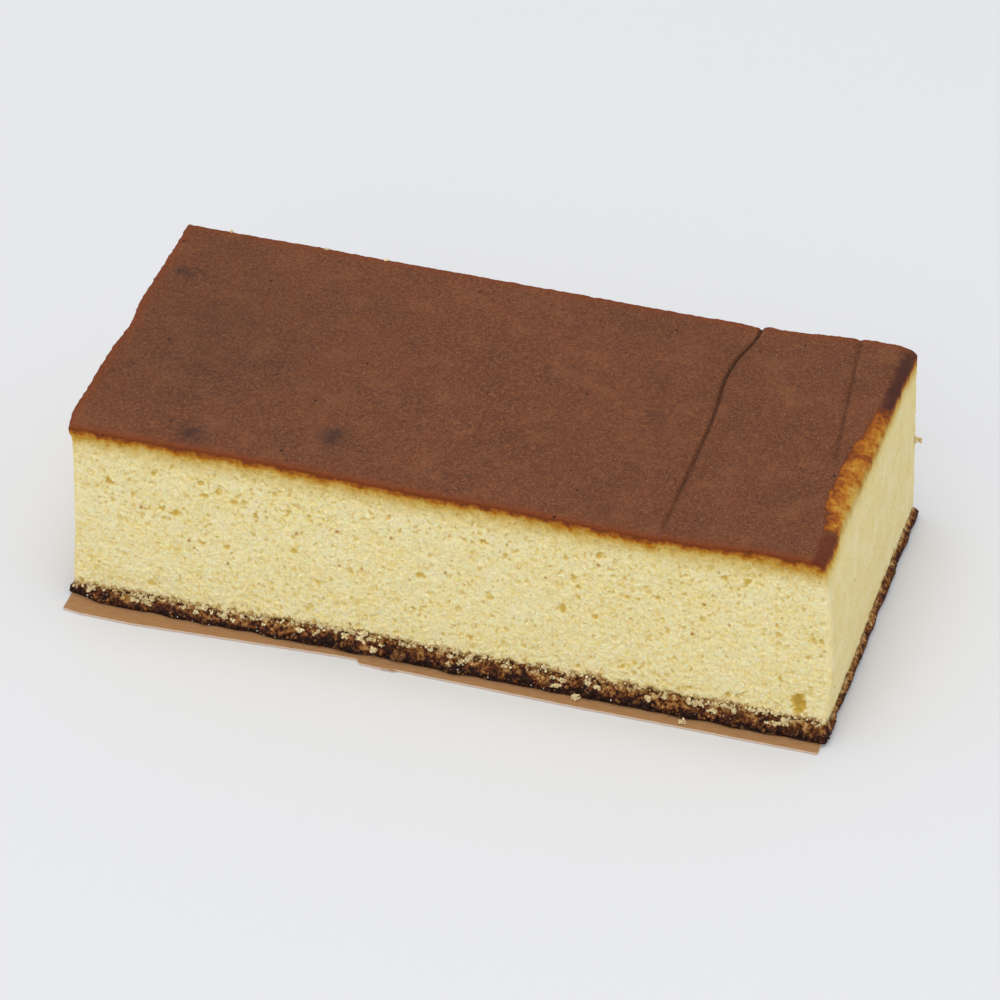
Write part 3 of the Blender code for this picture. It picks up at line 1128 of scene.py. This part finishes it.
@dataclass
class CrumbBody:
    """The yellow sponge: a front slab with the finest skin, and the rest behind it."""

    form: LoafForm
    crust_seam: float = 1.2
    crust_depth: float = 1.9
    under_crust: float = 0.45
    foot_seam: float = 1.2
    slab: float = 3.0
    overlap: float = 0.4
    sunk: float = 5.0
    front_step: float = 0.3
    rest_step: float = 0.4
    triangles: int = 197000
    sharp_from: float = 80.0
    right_open: float = 0.36
    big_pores: tuple[BigPore, ...] = (
        BigPore(95.8, 10.3, 2.1, 3.6, 1.5),
        BigPore(-57.0, 41.0, 1.6, 1.2, 0.9),
        BigPore(-66.0, 45.5, 1.3, 1.1, 0.8),
        BigPore(-65.5, 41.5, 1.6, 0.9, 0.8),
        BigPore(-74.0, 34.0, 2.0, 1.2, 0.9),
        BigPore(-79.5, 46.0, 1.4, 1.1, 0.8),
        BigPore(33.0, 27.0, 1.1, 1.8, 0.8),
        BigPore(58.0, 36.0, 1.3, 1.0, 0.8),
    )

    def build(self) -> list[Piece]:
        """Return the two pieces of the crumb."""
        half_x, half_y = self.form.half
        low, high = self.form.foot + self.foot_seam, self.form.top - self.crust_seam
        slab_back = -half_y + self.slab
        front = Blank("crumb_front", (-half_x, -half_y, low), (half_x, slab_back, high))
        front.cut_evenly(Axis.Z, self.front_step)
        front.cut_evenly(Axis.X, self.front_step, lambda m: (m[:, 1] < -half_y + NEAR) | (
            (m[:, 1] > slab_back - NEAR) & (m[:, 2] > high - NEAR)))
        front.cut_evenly(Axis.Y, self.front_step, lambda m: np.abs(m[:, 0]) > half_x - NEAR)
        front.cut_evenly(Axis.X, self.slab, lambda m: m[:, 1] > slab_back - NEAR)
        rest_front = slab_back - self.overlap
        rest = Blank("crumb_rest", (-half_x, rest_front, low), (half_x, half_y, high))
        rest.sink_top(self.sunk, self.sunk)
        rest.cut_evenly(Axis.Z, self.rest_step)
        rest.cut_evenly(Axis.X, self.rest_step, lambda m: m[:, 1] > half_y - NEAR)
        rest.cut_evenly(Axis.Y, self.rest_step, lambda m: np.abs(m[:, 0]) > half_x - NEAR)
        rest.cut_evenly(Axis.X, self.slab, lambda m: m[:, 1] < rest_front + self.sunk + NEAR)
        material = SpongeCrumb().build()
        relief = CrumbRelief().tree()
        for blank in (front, rest):
            self.shape(blank)
            carve(blank.body, relief)
            thin_to(blank.body, self.triangles)
            finish_piece(blank.body, material, self.sharp_from, LOAF_NODE)
        return [front.body, rest.body]

    def shape(self, blank: Blank) -> None:
        """Move a blank's skin onto the loaf, and note what its relief and colour need."""
        form = self.form
        block = blank.points()
        half_x, half_y = form.half
        x, y, z = block.T
        skin = (np.abs(x) > half_x - STRAIGHT) | (np.abs(y) > half_y - STRAIGHT)
        # The cut ends' mask lowers how open the crumb is: fewer pores there, and the painted shade of
        # the ends.
        cut_end_and_shade = smooth((np.abs(x) - half_x + 2.0) / 2.0)
        top_fade = smooth((form.top - z - 1.0) / 2.2)
        blank.note(
            open=(1.0 - (1.0 - self.right_open) * cut_end_and_shade) * (0.15 + 0.85 * top_fade),
            skin=skin.astype(float), outward=form.outward(block),
            bake=form.top - z + form.wear_depth * form.end_wear(x, y),
            foot=z - form.foot - form.rim_top(x, y), pit=self.pits(block))
        hidden = smooth((z - form.top + self.crust_depth + 0.15) / 0.25)
        placed = round_corners(form, block)
        placed -= form.outward(block) * (self.under_crust * hidden * skin)[:, None]
        blank.move_points(placed)

    def pits(self, block: Values) -> Values:
        """Return how deep the big pores cut into the front face."""
        x, y, z = block.T
        deepest = np.zeros_like(x)
        ragged = 0.5 * ripple(block, (1.3, 1.3, 1.3), 4.0)
        for pore in self.big_pores:
            away = np.hypot((x - pore.x) / pore.reach_x, (z - pore.z) / pore.reach_z) + ragged
            deepest = np.maximum(deepest, pore.depth * smooth((1.3 - away) / 1.0))
        return deepest * (y < STRAIGHT - self.form.width / 2)


@dataclass
class TopCrust:
    """The baked top: a thin skin that ends in sharp cut edges."""

    form: LoafForm
    depth: float = 1.9
    step: float = 0.5
    crease_band: float = 4.0
    ragged: float = 0.3
    torn_reach: float = 1.4
    tuck: tuple[float, float, float] = (0.95, 0.88, 1.0)
    tuck_drop: float = 3.5
    triangles: int = 190000
    sharp_from: float = 80.0

    def build(self) -> Piece:
        """Return the baked top."""
        form = self.form
        half_x, half_y = form.half
        blank = Blank("top_crust", (-half_x, -half_y, form.top - self.depth),
                      (half_x, half_y, form.top))
        blank.open_faces((Axis.Z, -1))
        blank.cut_evenly(Axis.X, self.step)
        blank.cut_evenly(Axis.X, self.step / 2, lambda m: (
            np.abs(m[:, 0] - form.crease_x) < self.crease_band))
        blank.cut_evenly(Axis.Y, self.step)
        blank.cut_evenly(Axis.Z, self.depth / 5)
        self.shape(blank)
        blank.tuck_rim(self.tuck, self.tuck_drop)
        blank.fill_open_rims()
        carve(blank.body, LumpRelief("crust_relief", lump=0.07, lump_size=2.4, grain=0.09,
                                     grain_size=0.9).tree())
        thin_to(blank.body, self.triangles)
        finish_piece(blank.body, BakedTop().build(), self.sharp_from, LOAF_NODE)
        return blank.body

    def shape(self, blank: Blank) -> None:
        """Soften the rim, move the skin onto the loaf and note its bake."""
        form = self.form
        block = blank.points()
        half_x, half_y = form.half
        x, y, z = block.T
        soft = form.edge_round
        edge = np.minimum(half_x - np.abs(x), half_y - np.abs(y))
        on_top = z > form.top - STRAIGHT
        into = np.clip(soft - edge, 0.0, soft)
        fall = soft - np.sqrt(np.maximum(0.0, soft ** 2 - into ** 2))
        lowest = form.top - self.depth
        share = (z - lowest) / self.depth
        shaped = block.copy()
        shaped[:, 2] = np.where(on_top, form.top - fall, lowest + share * (self.depth - soft))
        up = np.where(on_top, 1.0 - into / soft * 0.6, 0.0)
        way = form.outward(block) * (1.0 - up)[:, None]
        way[:, 2] = up
        blank.note(
            outward=way, skin=(z > lowest + STRAIGHT).astype(float),
            bake=form.top - shaped[:, 2] + form.wear_depth * form.end_wear(x, y),
            red_edge=form.rim_reddening(x, y), scorch=form.scorch(x, y),
            corner=form.corner_red(x, y), fold=form.crease_shade(form.bent_x(x, y), y))
        placed = round_corners(form, shaped)
        level = flat(x, y)
        torn = self.ragged * ripple(level, (2.3, 2.3, 1.0), 6.1) + 0.6 * self.ragged * ripple(
            level, (0.9, 0.9, 1.0), 8.3)
        near_edge = smooth((self.torn_reach - edge) / self.torn_reach)
        placed += form.outward(block) * (torn * near_edge)[:, None]
        blank.move_points(placed)


@dataclass
class FootCrust:
    """The dark bottom crust with its ragged rim."""

    form: LoafForm
    step: float = 0.3
    bulge: float = 0.3
    triangles: int = 190000
    sharp_from: float = 60.0

    def build(self) -> Piece:
        """Return the bottom crust."""
        form = self.form
        half_x, half_y = form.half
        blank = Blank("bottom_crust", (-half_x, -half_y, form.foot),
                      (half_x, half_y, form.foot + form.rim_height))
        blank.open_faces((Axis.Z, -1), (Axis.Z, 1))
        for axis in (Axis.X, Axis.Y, Axis.Z):
            blank.cut_evenly(axis, self.step)
        self.shape(blank)
        blank.fill_open_rims()
        carve(blank.body, LumpRelief("foot_relief", lump=0.45, lump_size=1.8, grain=0.55,
                                     grain_size=0.9).tree())
        thin_to(blank.body, self.triangles)
        finish_piece(blank.body, DarkFoot().build(), self.sharp_from, LOAF_NODE)
        return blank.body

    def shape(self, blank: Blank) -> None:
        """Move the wall onto the loaf with a ragged upper edge."""
        form = self.form
        block = blank.points()
        share = (block[:, 2] - form.foot) / form.rim_height
        level = flat(*block[:, :2].T)
        ragged = ripple(level, (5.0, 5.0, 1.0), 1.7) + 0.8 * ripple(
            level, (1.8, 1.8, 1.0), 5.2)
        tall = form.rim_top(block[:, 0], block[:, 1]) / form.rim_height
        placed = round_corners(form, block, rim=True)
        placed[:, 2] += ragged * tall * smooth((share - 0.3) / 0.7)
        out = form.outward(block)
        placed += out * (self.bulge * share)[:, None]
        blank.note(outward=out, skin=smooth(share / 0.15) * (0.1 + 0.9 * tall ** 1.5), foot=share)
        blank.move_points(placed)


@dataclass
class BaseCard:
    """The kraft card under the loaf, torn in its front edge where a ply hangs loose."""

    form: LoafForm
    left: float
    right: float
    back: float
    thickness: float = 0.8
    front_left: float = 56.55
    front_nick: float = 53.35
    front_right: float = 55.25
    nick_x: float = -22.4
    nick_width: float = 1.2
    tongue: float = 7.5
    right_bend: float = 35.0
    ply: float = 0.15
    ply_length: float = 6.0
    ply_width: float = 1.1
    edge_round: float = 0.12
    edge_rough: float = 0.12
    sharp_from: float = 50.0

    def front_edge(self, x: Values) -> Values:
        """Return where the card's front edge runs at each x."""
        nick = self.nick_x + self.form.centre_x
        tip = nick + self.nick_width
        places = [self.left, self.left + 5.0, self.left + 20.0, nick - 4.0, nick, tip,
                  tip + self.tongue, tip + self.tongue + 0.6, self.right_bend, self.right]
        depths = [self.front_left - 0.9, self.front_left - 0.2, self.front_left,
                  self.front_nick, self.front_nick, self.front_nick + 1.5,
                  self.front_nick + 1.7, self.front_nick + 1.2, self.front_right,
                  self.front_right]
        return self.form.centre_y - np.interp(x, places, depths)

    def build(self) -> list[Piece]:
        """Return the card and its torn ply."""
        front = self.form.centre_y - self.front_left
        blank = Blank("kraft_base_card", (self.left, front, 0.0),
                      (self.right, self.back, self.thickness))
        blank.cut_evenly(Axis.X, 0.5)
        block = blank.points()
        at_front = block[:, 1] < front + STRAIGHT
        block[at_front, 1] = self.front_edge(block[at_front, 0])
        block[at_front, 1] += self.edge_rough * ripple(block[at_front], (1.5, 1.5, 1.5), 3.3)
        blank.move_points(block)
        pick(blank.body)
        bevel = blank.body.modifiers.new("soft_edge", "BEVEL")
        bevel.width = self.edge_round * MM
        bevel.segments = 2
        bevel.limit_method = "ANGLE"
        bevel.angle_limit = math.radians(60.0)
        apply_modifiers(blank.body)
        points = blank.points()
        middle = np.abs(points[:, 2] - self.thickness / 2) < self.thickness * 0.45
        blank.note(cut_edge=middle.astype(float))
        material = KraftCard().build()
        finish_piece(blank.body, material, self.sharp_from, CARD_NODE)
        return [blank.body, self.build_ply(material)]

    def build_ply(self, material: Finish) -> Piece:
        """Return the thin ply that hangs off the torn edge and curls down."""
        start = self.form.centre_x + self.nick_x + self.nick_width + self.tongue - 2.5
        edge = self.form.centre_y - self.front_nick - 0.9
        blank = Blank("torn_card_ply", (start, edge - self.ply_width, 0.0),
                      (start + self.ply_length, edge + 0.6, self.ply))
        blank.cut_evenly(Axis.X, 0.4)
        blank.cut_evenly(Axis.Y, 0.3)
        x, y, z = blank.points().T
        out = np.clip((edge - y) / self.ply_width, 0.0, 1.0)
        along = (x - start) / self.ply_length
        width = np.sin(math.pi * np.clip(0.08 + 0.92 * along, 0.0, 1.0)) ** 0.5
        torn = 1.0 + 0.35 * ripple(flat(x, 0 * x), (1.2, 1.0, 1.0), 7.7)
        new_y = np.where(y < edge, edge - out * self.ply_width * width * torn, y)
        drop = self.thickness - self.ply - 0.05 - 0.45 * smooth(out) * (0.4 + 0.6 * along)
        blank.move_points(np.stack([x, new_y, z + np.maximum(0.02, drop)], axis=1))
        blank.note(cut_edge=0.7 * smooth((out - 0.75) / 0.25))
        finish_piece(blank.body, material, self.sharp_from, CARD_NODE)
        return blank.body


# ---- Crumbs and sugar round the foot ----

class LumpShape(Enum):
    """What one small piece starts from."""

    CRUMB = "torn lump of sponge"
    CRYSTAL = "sugar crystal"


@dataclass(frozen=True)
class Lump:
    """One small piece: its place, its size and its shade."""

    place: tuple[float, float, float]
    size: float
    tone: float


@dataclass
class Scatter:
    """Many small pieces of one kind, modelled once and copied by geometry nodes."""

    name: str
    shape: LumpShape
    finish: LooseCrumb
    lumps: list[Lump]
    seed: int
    uneven: float = 0.5
    sharp_from: float = 40.0

    def model_one(self) -> Piece:
        """Return one piece of the kind, one millimetre across."""
        deselect()
        if self.shape is LumpShape.CRUMB:
            bpy.ops.mesh.primitive_ico_sphere_add(subdivisions=2, radius=0.5 * MM)
            offset = 0.24 * MM
        else:
            bpy.ops.mesh.primitive_cube_add(size=0.8 * MM)
            offset = 0.1 * MM
        with editing():
            if self.shape is LumpShape.CRYSTAL:
                bpy.ops.mesh.bevel(offset=0.12 * MM, segments=1)
            bpy.ops.transform.vertex_random(offset=offset, uniform=1.0, seed=self.seed)
        return bpy.context.object

    def build(self, slot: str, node: str) -> Piece:
        """Return all pieces of the kind as one mesh.

        Args:
            slot: The record's material slot, which is not used.
            node: The CAD node that they come with.
        """
        one = self.model_one()
        draw = random.Random(self.seed)
        mesh = bpy.data.meshes.new(self.name)
        mesh.from_pydata([[v * MM for v in lump.place] for lump in self.lumps], [], [])
        piece = bpy.data.objects.new(self.name, mesh)
        bpy.context.scene.collection.objects.link(piece)
        turns = [[draw.uniform(0.0, 2 * math.pi) for _ in range(3)] for _ in self.lumps]
        sizes = [[lump.size * draw.uniform(0.7, 1.3) for _ in range(3)] for lump in self.lumps]
        note_points(mesh, turn=np.array(turns), size=np.array(sizes),
                    tone=np.array([lump.tone for lump in self.lumps]))
        carve(piece, self.tree(one))
        bpy.data.objects.remove(one, do_unlink=True)
        finish_piece(piece, self.finish.build(), self.sharp_from, node)
        return piece

    def tree(self, one: Piece) -> Tree:
        """Build the node group that sets a copy on each point and roughens it."""
        tree, points = new_relief(self.name)
        single = add_node(tree, "GeometryNodeObjectInfo", {"Object": one}).outputs["Geometry"]
        turn = add_node(tree, "FunctionNodeEulerToRotation", {
            0: noted(tree, "turn", "FLOAT_VECTOR")}).outputs[0]
        copies = add_node(tree, "GeometryNodeInstanceOnPoints", {
            "Points": points, "Instance": single, "Rotation": turn,
            "Scale": noted(tree, "size", "FLOAT_VECTOR")}).outputs[0]
        solid = add_node(tree, "GeometryNodeRealizeInstances", {0: copies}).outputs[0]
        place = add_node(tree, "GeometryNodeInputPosition").outputs[0]
        moved = add_node(tree, "GeometryNodeSetPosition", {
            "Geometry": solid, "Offset": swirl(tree, place, 0.5, self.uneven / 2)})
        add_node(tree, "NodeGroupOutput", {0: moved.outputs[0]})
        return tree


@dataclass
class FootCrumbs:
    """Crumbs and sugar that cling to the foot, and a few that fell off."""

    form: LoafForm
    card_top: float
    seed: int = 20
    clusters: tuple[float, ...] = (-86.0, -66.0, -53.0, -34.0, -22.0, -13.0, 5.0, 33.0, 66.0, 90.0)
    cluster_width: float = 6.0

    def build(self) -> list[Piece]:
        """Return the pieces, one for each kind."""
        draw = random.Random(self.seed)
        pale = self.tufts(draw, 80, 1.2, (7, 16), (0.3, 0.85))
        pale += self.cling(draw, 260, (0.3, 0.8), (0.85, 1.3), lambda x: 1.0)
        pale += self.fallen(draw)
        brown = self.cling(draw, 300, (0.3, 0.9), (0.3, 1.15), lambda x: 0.8)
        brown += self.around(draw, 260, (0.25, 0.5), (0.3, 1.2))
        brown += self.heap(draw, self.beside(-11.3, -51.55, 3.2), (1.4, 0.7, 1.9), 46, (0.5, 1.3))
        sugar = self.cling(draw, 40, (0.25, 0.45), (0.1, 0.8), lambda x: 1.0)
        kinds = (
            ("pale_crumbs", LumpShape.CRUMB, pale, LooseCrumb(
                "fallen_sponge_crumb", "#C6AC78", "#F3E6BC")),
            ("brown_crumbs", LumpShape.CRUMB, brown, LooseCrumb(
                "browned_crumb", "#3A190D", "#8A5A30", 0.75)),
            ("sugar_crystals", LumpShape.CRYSTAL, sugar, LooseCrumb(
                "coarse_sugar", "#D9C8B0", "#FFFFFF", 0.12, 0.5)))
        return [Scatter(name, shape, finish, lumps, self.seed + number).build(
            SPONGE_SLOT, LOAF_NODE) for number, (name, shape, lumps, finish) in enumerate(kinds)]

    def tufts(self, draw: random.Random, count: int, reach: float, lumps: tuple[int, int],
              sizes: Span) -> list[Lump]:
        """Hang torn tufts of sponge from the crumb's lower edge, densest at the clusters."""
        heaps = []
        for stem in self.cling(draw, count, (0.3, 0.5), (0.65, 1.3), self.crowding):
            wide = reach * draw.uniform(0.5, 1.2)
            heaps += self.heap(draw, stem.place, (wide, 0.35, 0.6 * wide),
                               draw.randint(*lumps), sizes)
        return heaps

    def beside(self, x: float, y: float, z: float) -> tuple[float, float, float]:
        """Return a place that is given from the middle of the loaf."""
        return x + self.form.centre_x, y + self.form.centre_y, z

    def crowding(self, x: float) -> float:
        """Return how thick the pale crumbs hang at x, from 0 to 1."""
        near = min(abs(x - centre) for centre in self.clusters)
        return 0.2 + 0.8 * math.exp(-(near / self.cluster_width) ** 2)

    def on_foot(self, x: float, y: float, share: float) -> tuple[float, float, float]:
        """Return the point of the foot's skin at x, y and a share of the rim's height."""
        block = np.array([[x, y, self.form.foot + min(share, 1.0) * self.form.rim_height]])
        point = self.form.place(block, rim=True)[0]
        tall = float(self.form.rim_top(block[:, 0], block[:, 1])[0])
        return point[0], point[1], point[2] + max(0.0, share - 1.0) * tall

    def cling(self, draw: random.Random, count: int, sizes: Span,
              shares: Span, crowd: Callable[[float], float]) -> list[Lump]:
        """Spread lumps over the front of the foot.

        Args:
            draw: Source of the random draws.
            count: How many lumps.
            sizes: Smallest and largest, in millimetres.
            shares: Lowest and highest place as a share of the rim's height.
            crowd: How thick they hang at x, from 0 to 1.

        Returns:
            The lumps.
        """
        half_x, half_y = self.form.half
        lumps = []
        while len(lumps) < count:
            x = draw.uniform(-half_x, half_x)
            if draw.random() > crowd(x):
                continue
            size = sizes[0] + (sizes[1] - sizes[0]) * draw.random() ** 2.5
            spot = self.on_foot(x, -half_y, draw.uniform(*shares))
            place = (spot[0], spot[1] - 0.45 * size - 0.15, spot[2])
            lumps.append(Lump(place, size, draw.random()))
        return lumps

    def around(self, draw: random.Random, count: int, sizes: Span,
               shares: Span) -> list[Lump]:
        """Spread lumps over the thin foot at the back and at both ends."""
        half_x, half_y = self.form.half
        lumps = []
        for _ in range(count):
            size = draw.uniform(*sizes)
            away = 0.3 * size
            if draw.random() < 0.5:
                x, y, way = draw.uniform(-half_x, half_x), half_y, (0.0, away)
            else:
                sign = draw.choice((-1, 1))
                x, y, way = sign * half_x, draw.uniform(-half_y + 2.0, half_y), (sign * away, 0.0)
            spot = self.on_foot(x, y, draw.uniform(*shares))
            place = (spot[0] + way[0], spot[1] + way[1], spot[2])
            lumps.append(Lump(place, size, draw.random()))
        return lumps

    def heap(self, draw: random.Random, centre: tuple[float, float, float],
             reach: tuple[float, float, float], count: int,
             sizes: Span) -> list[Lump]:
        """Heap lumps into one larger torn bit, thickest at its centre."""
        return [Lump(tuple(c + draw.gauss(0.0, 0.45) * r for c, r in zip(centre, reach)),
                     draw.uniform(*sizes), draw.uniform(0.2, 1.0)) for _ in range(count)]

    def fallen(self, draw: random.Random) -> list[Lump]:
        """Return the larger pale bits that stick to the foot, the card and the back edge."""
        card, lumps = self.card_top, []
        for place, reach, count in (
                ((-18.2, -51.7, 3.4), 1.3, 16), ((2.4, -51.2, 3.2), 0.9, 12),
                ((31.8, -51.0, card + 2.2), 1.6, 22), ((37.6, -52.7, card + 0.8), 1.0, 14),
                ((57.0, -50.6, 4.0), 0.8, 10), ((67.2, -53.7, card + 0.6), 1.1, 14),
                ((91.0, -51.3, 4.2), 0.7, 8), ((103.9, 47.3, 27.3), 1.3, 20),
                ((-91.0, 47.6, 55.9), 0.5, 5), ((-63.0, 47.6, 55.6), 0.5, 5),
                ((-46.0, 47.6, 55.4), 0.8, 8), ((50.0, 47.6, 54.6), 0.5, 5),
                ((79.0, 47.6, 56.0), 0.5, 5)):
            lumps += self.heap(draw, self.beside(*place), (reach, 0.6 * reach, 0.7 * reach),
                               count, (0.4, 0.9))
        return lumps


# ---- Studio ----

@dataclass(frozen=True)
class Studio:
    """Pale floor, soft light and the camera.

    Each light has its name, place and size in millimetres, its watts and its tint.
    """

    loaf_x: float
    loaf_y: float
    floor_tint: str = "#DCDEE5"
    floor_size: float = 9000.0
    room_tint: str = "#FBFAF6"
    room_strength: float = 0.80
    lights: tuple[tuple, ...] = (
        ("key_panel", (-100.0, -1500.0, 1400.0), 1500.0, 7.0, "#FFFDF8"),
        ("top_panel", (0.0, 0.0, 1900.0), 1600.0, 11.0, "#FFFFFF"))
    azimuth: float = 17.77
    elevation: float = 38.14
    roll: float = -0.67
    distance: float = 1483.0
    lens: float = 200.0
    sensor: float = 36.0
    aim: tuple[float, float, float] = (-0.08, -0.61, 25.8)
    slide: Span = (1.01, -5.11)

    def build(self) -> None:
        """Set up the floor, the lights, the world and the camera."""
        self.add_floor()
        self.add_world()
        self.add_lights()
        self.add_camera()
        bpy.context.scene.view_settings.view_transform = "Standard"

    def add_floor(self) -> None:
        """Lay the pale floor under the card."""
        deselect()
        bpy.ops.mesh.primitive_plane_add(size=self.floor_size * MM, location=(0.0, 0.0, 0.0))
        floor = bpy.context.object
        floor.name = "studio_floor"
        material = bpy.data.materials.new("pale_matt_floor")
        material.use_nodes = True
        shader = material.node_tree.nodes["Principled BSDF"]
        shader.inputs["Base Color"].default_value = srgb(self.floor_tint)
        shader.inputs["Roughness"].default_value = 0.9
        shader.inputs["Specular IOR Level"].default_value = 0.1
        floor.data.materials.append(material)

    def add_world(self) -> None:
        """Fill the room with soft, even light."""
        world = bpy.data.worlds.new("soft_room")
        world.use_nodes = True
        background = world.node_tree.nodes["Background"]
        background.inputs["Color"].default_value = srgb(self.room_tint)
        background.inputs["Strength"].default_value = self.room_strength
        bpy.context.scene.world = world

    def add_lights(self) -> None:
        """Hang one large soft light above the cake and a weaker one above the front left."""
        for name, place, size, watts, tint in self.lights:
            data = bpy.data.lights.new(name, "AREA")
            data.shape = "DISK"
            data.size = size * MM
            data.energy = watts
            data.color = srgb(tint)[:3]
            lamp = bpy.data.objects.new(name, data)
            lamp.location = Vector(place) * MM
            away = -lamp.location.normalized()
            lamp.rotation_euler = away.to_track_quat("-Z", "Y").to_euler()
            bpy.context.scene.collection.objects.link(lamp)

    def add_camera(self) -> None:
        """Place the long-lens camera that looks down on the front right corner."""
        turn, tilt, roll = (math.radians(v) for v in (self.azimuth, self.elevation, self.roll))
        back = Vector((math.sin(turn) * math.cos(tilt), -math.cos(turn) * math.cos(tilt),
                       math.sin(tilt)))
        level = Vector((0.0, 0.0, 1.0)).cross(back).normalized()
        rise = back.cross(level)
        right = level * math.cos(roll) + rise * math.sin(roll)
        up = rise * math.cos(roll) - level * math.sin(roll)
        aim = Vector(self.aim) + Vector((self.loaf_x, self.loaf_y, 0.0))
        place = (aim + right * self.slide[0] + up * self.slide[1] + back * self.distance) * MM
        data = bpy.data.cameras.new("camera")
        data.lens = self.lens
        data.sensor_width = self.sensor
        data.clip_end = 50.0
        camera = bpy.data.objects.new("camera", data)
        turned = Matrix((right, up, back)).transposed().to_4x4()
        camera.matrix_world = Matrix.Translation(place) @ turned
        bpy.context.scene.collection.objects.link(camera)
        bpy.context.scene.camera = camera


def main() -> None:
    """Build every piece in order and report it."""
    logging.basicConfig(level=logging.INFO, format="%(name)s: %(message)s")
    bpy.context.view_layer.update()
    card_low, card_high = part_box(CARD_NODE)
    form = LoafForm(centre_x=card_low[0] / MM + CARD_LEFT_OF_LOAF,
                    centre_y=card_high[1] / MM - CARD_BACK_OF_LOAF)
    Studio(form.centre_x, form.centre_y).build()
    CrumbBody(form).build()
    TopCrust(form).build()
    FootCrust(form).build()
    BaseCard(form, card_low[0] / MM, card_high[0] / MM, card_high[1] / MM).build()
    FootCrumbs(form, card_top=card_high[2] / MM).build()


if __name__ == "__main__":
    main()
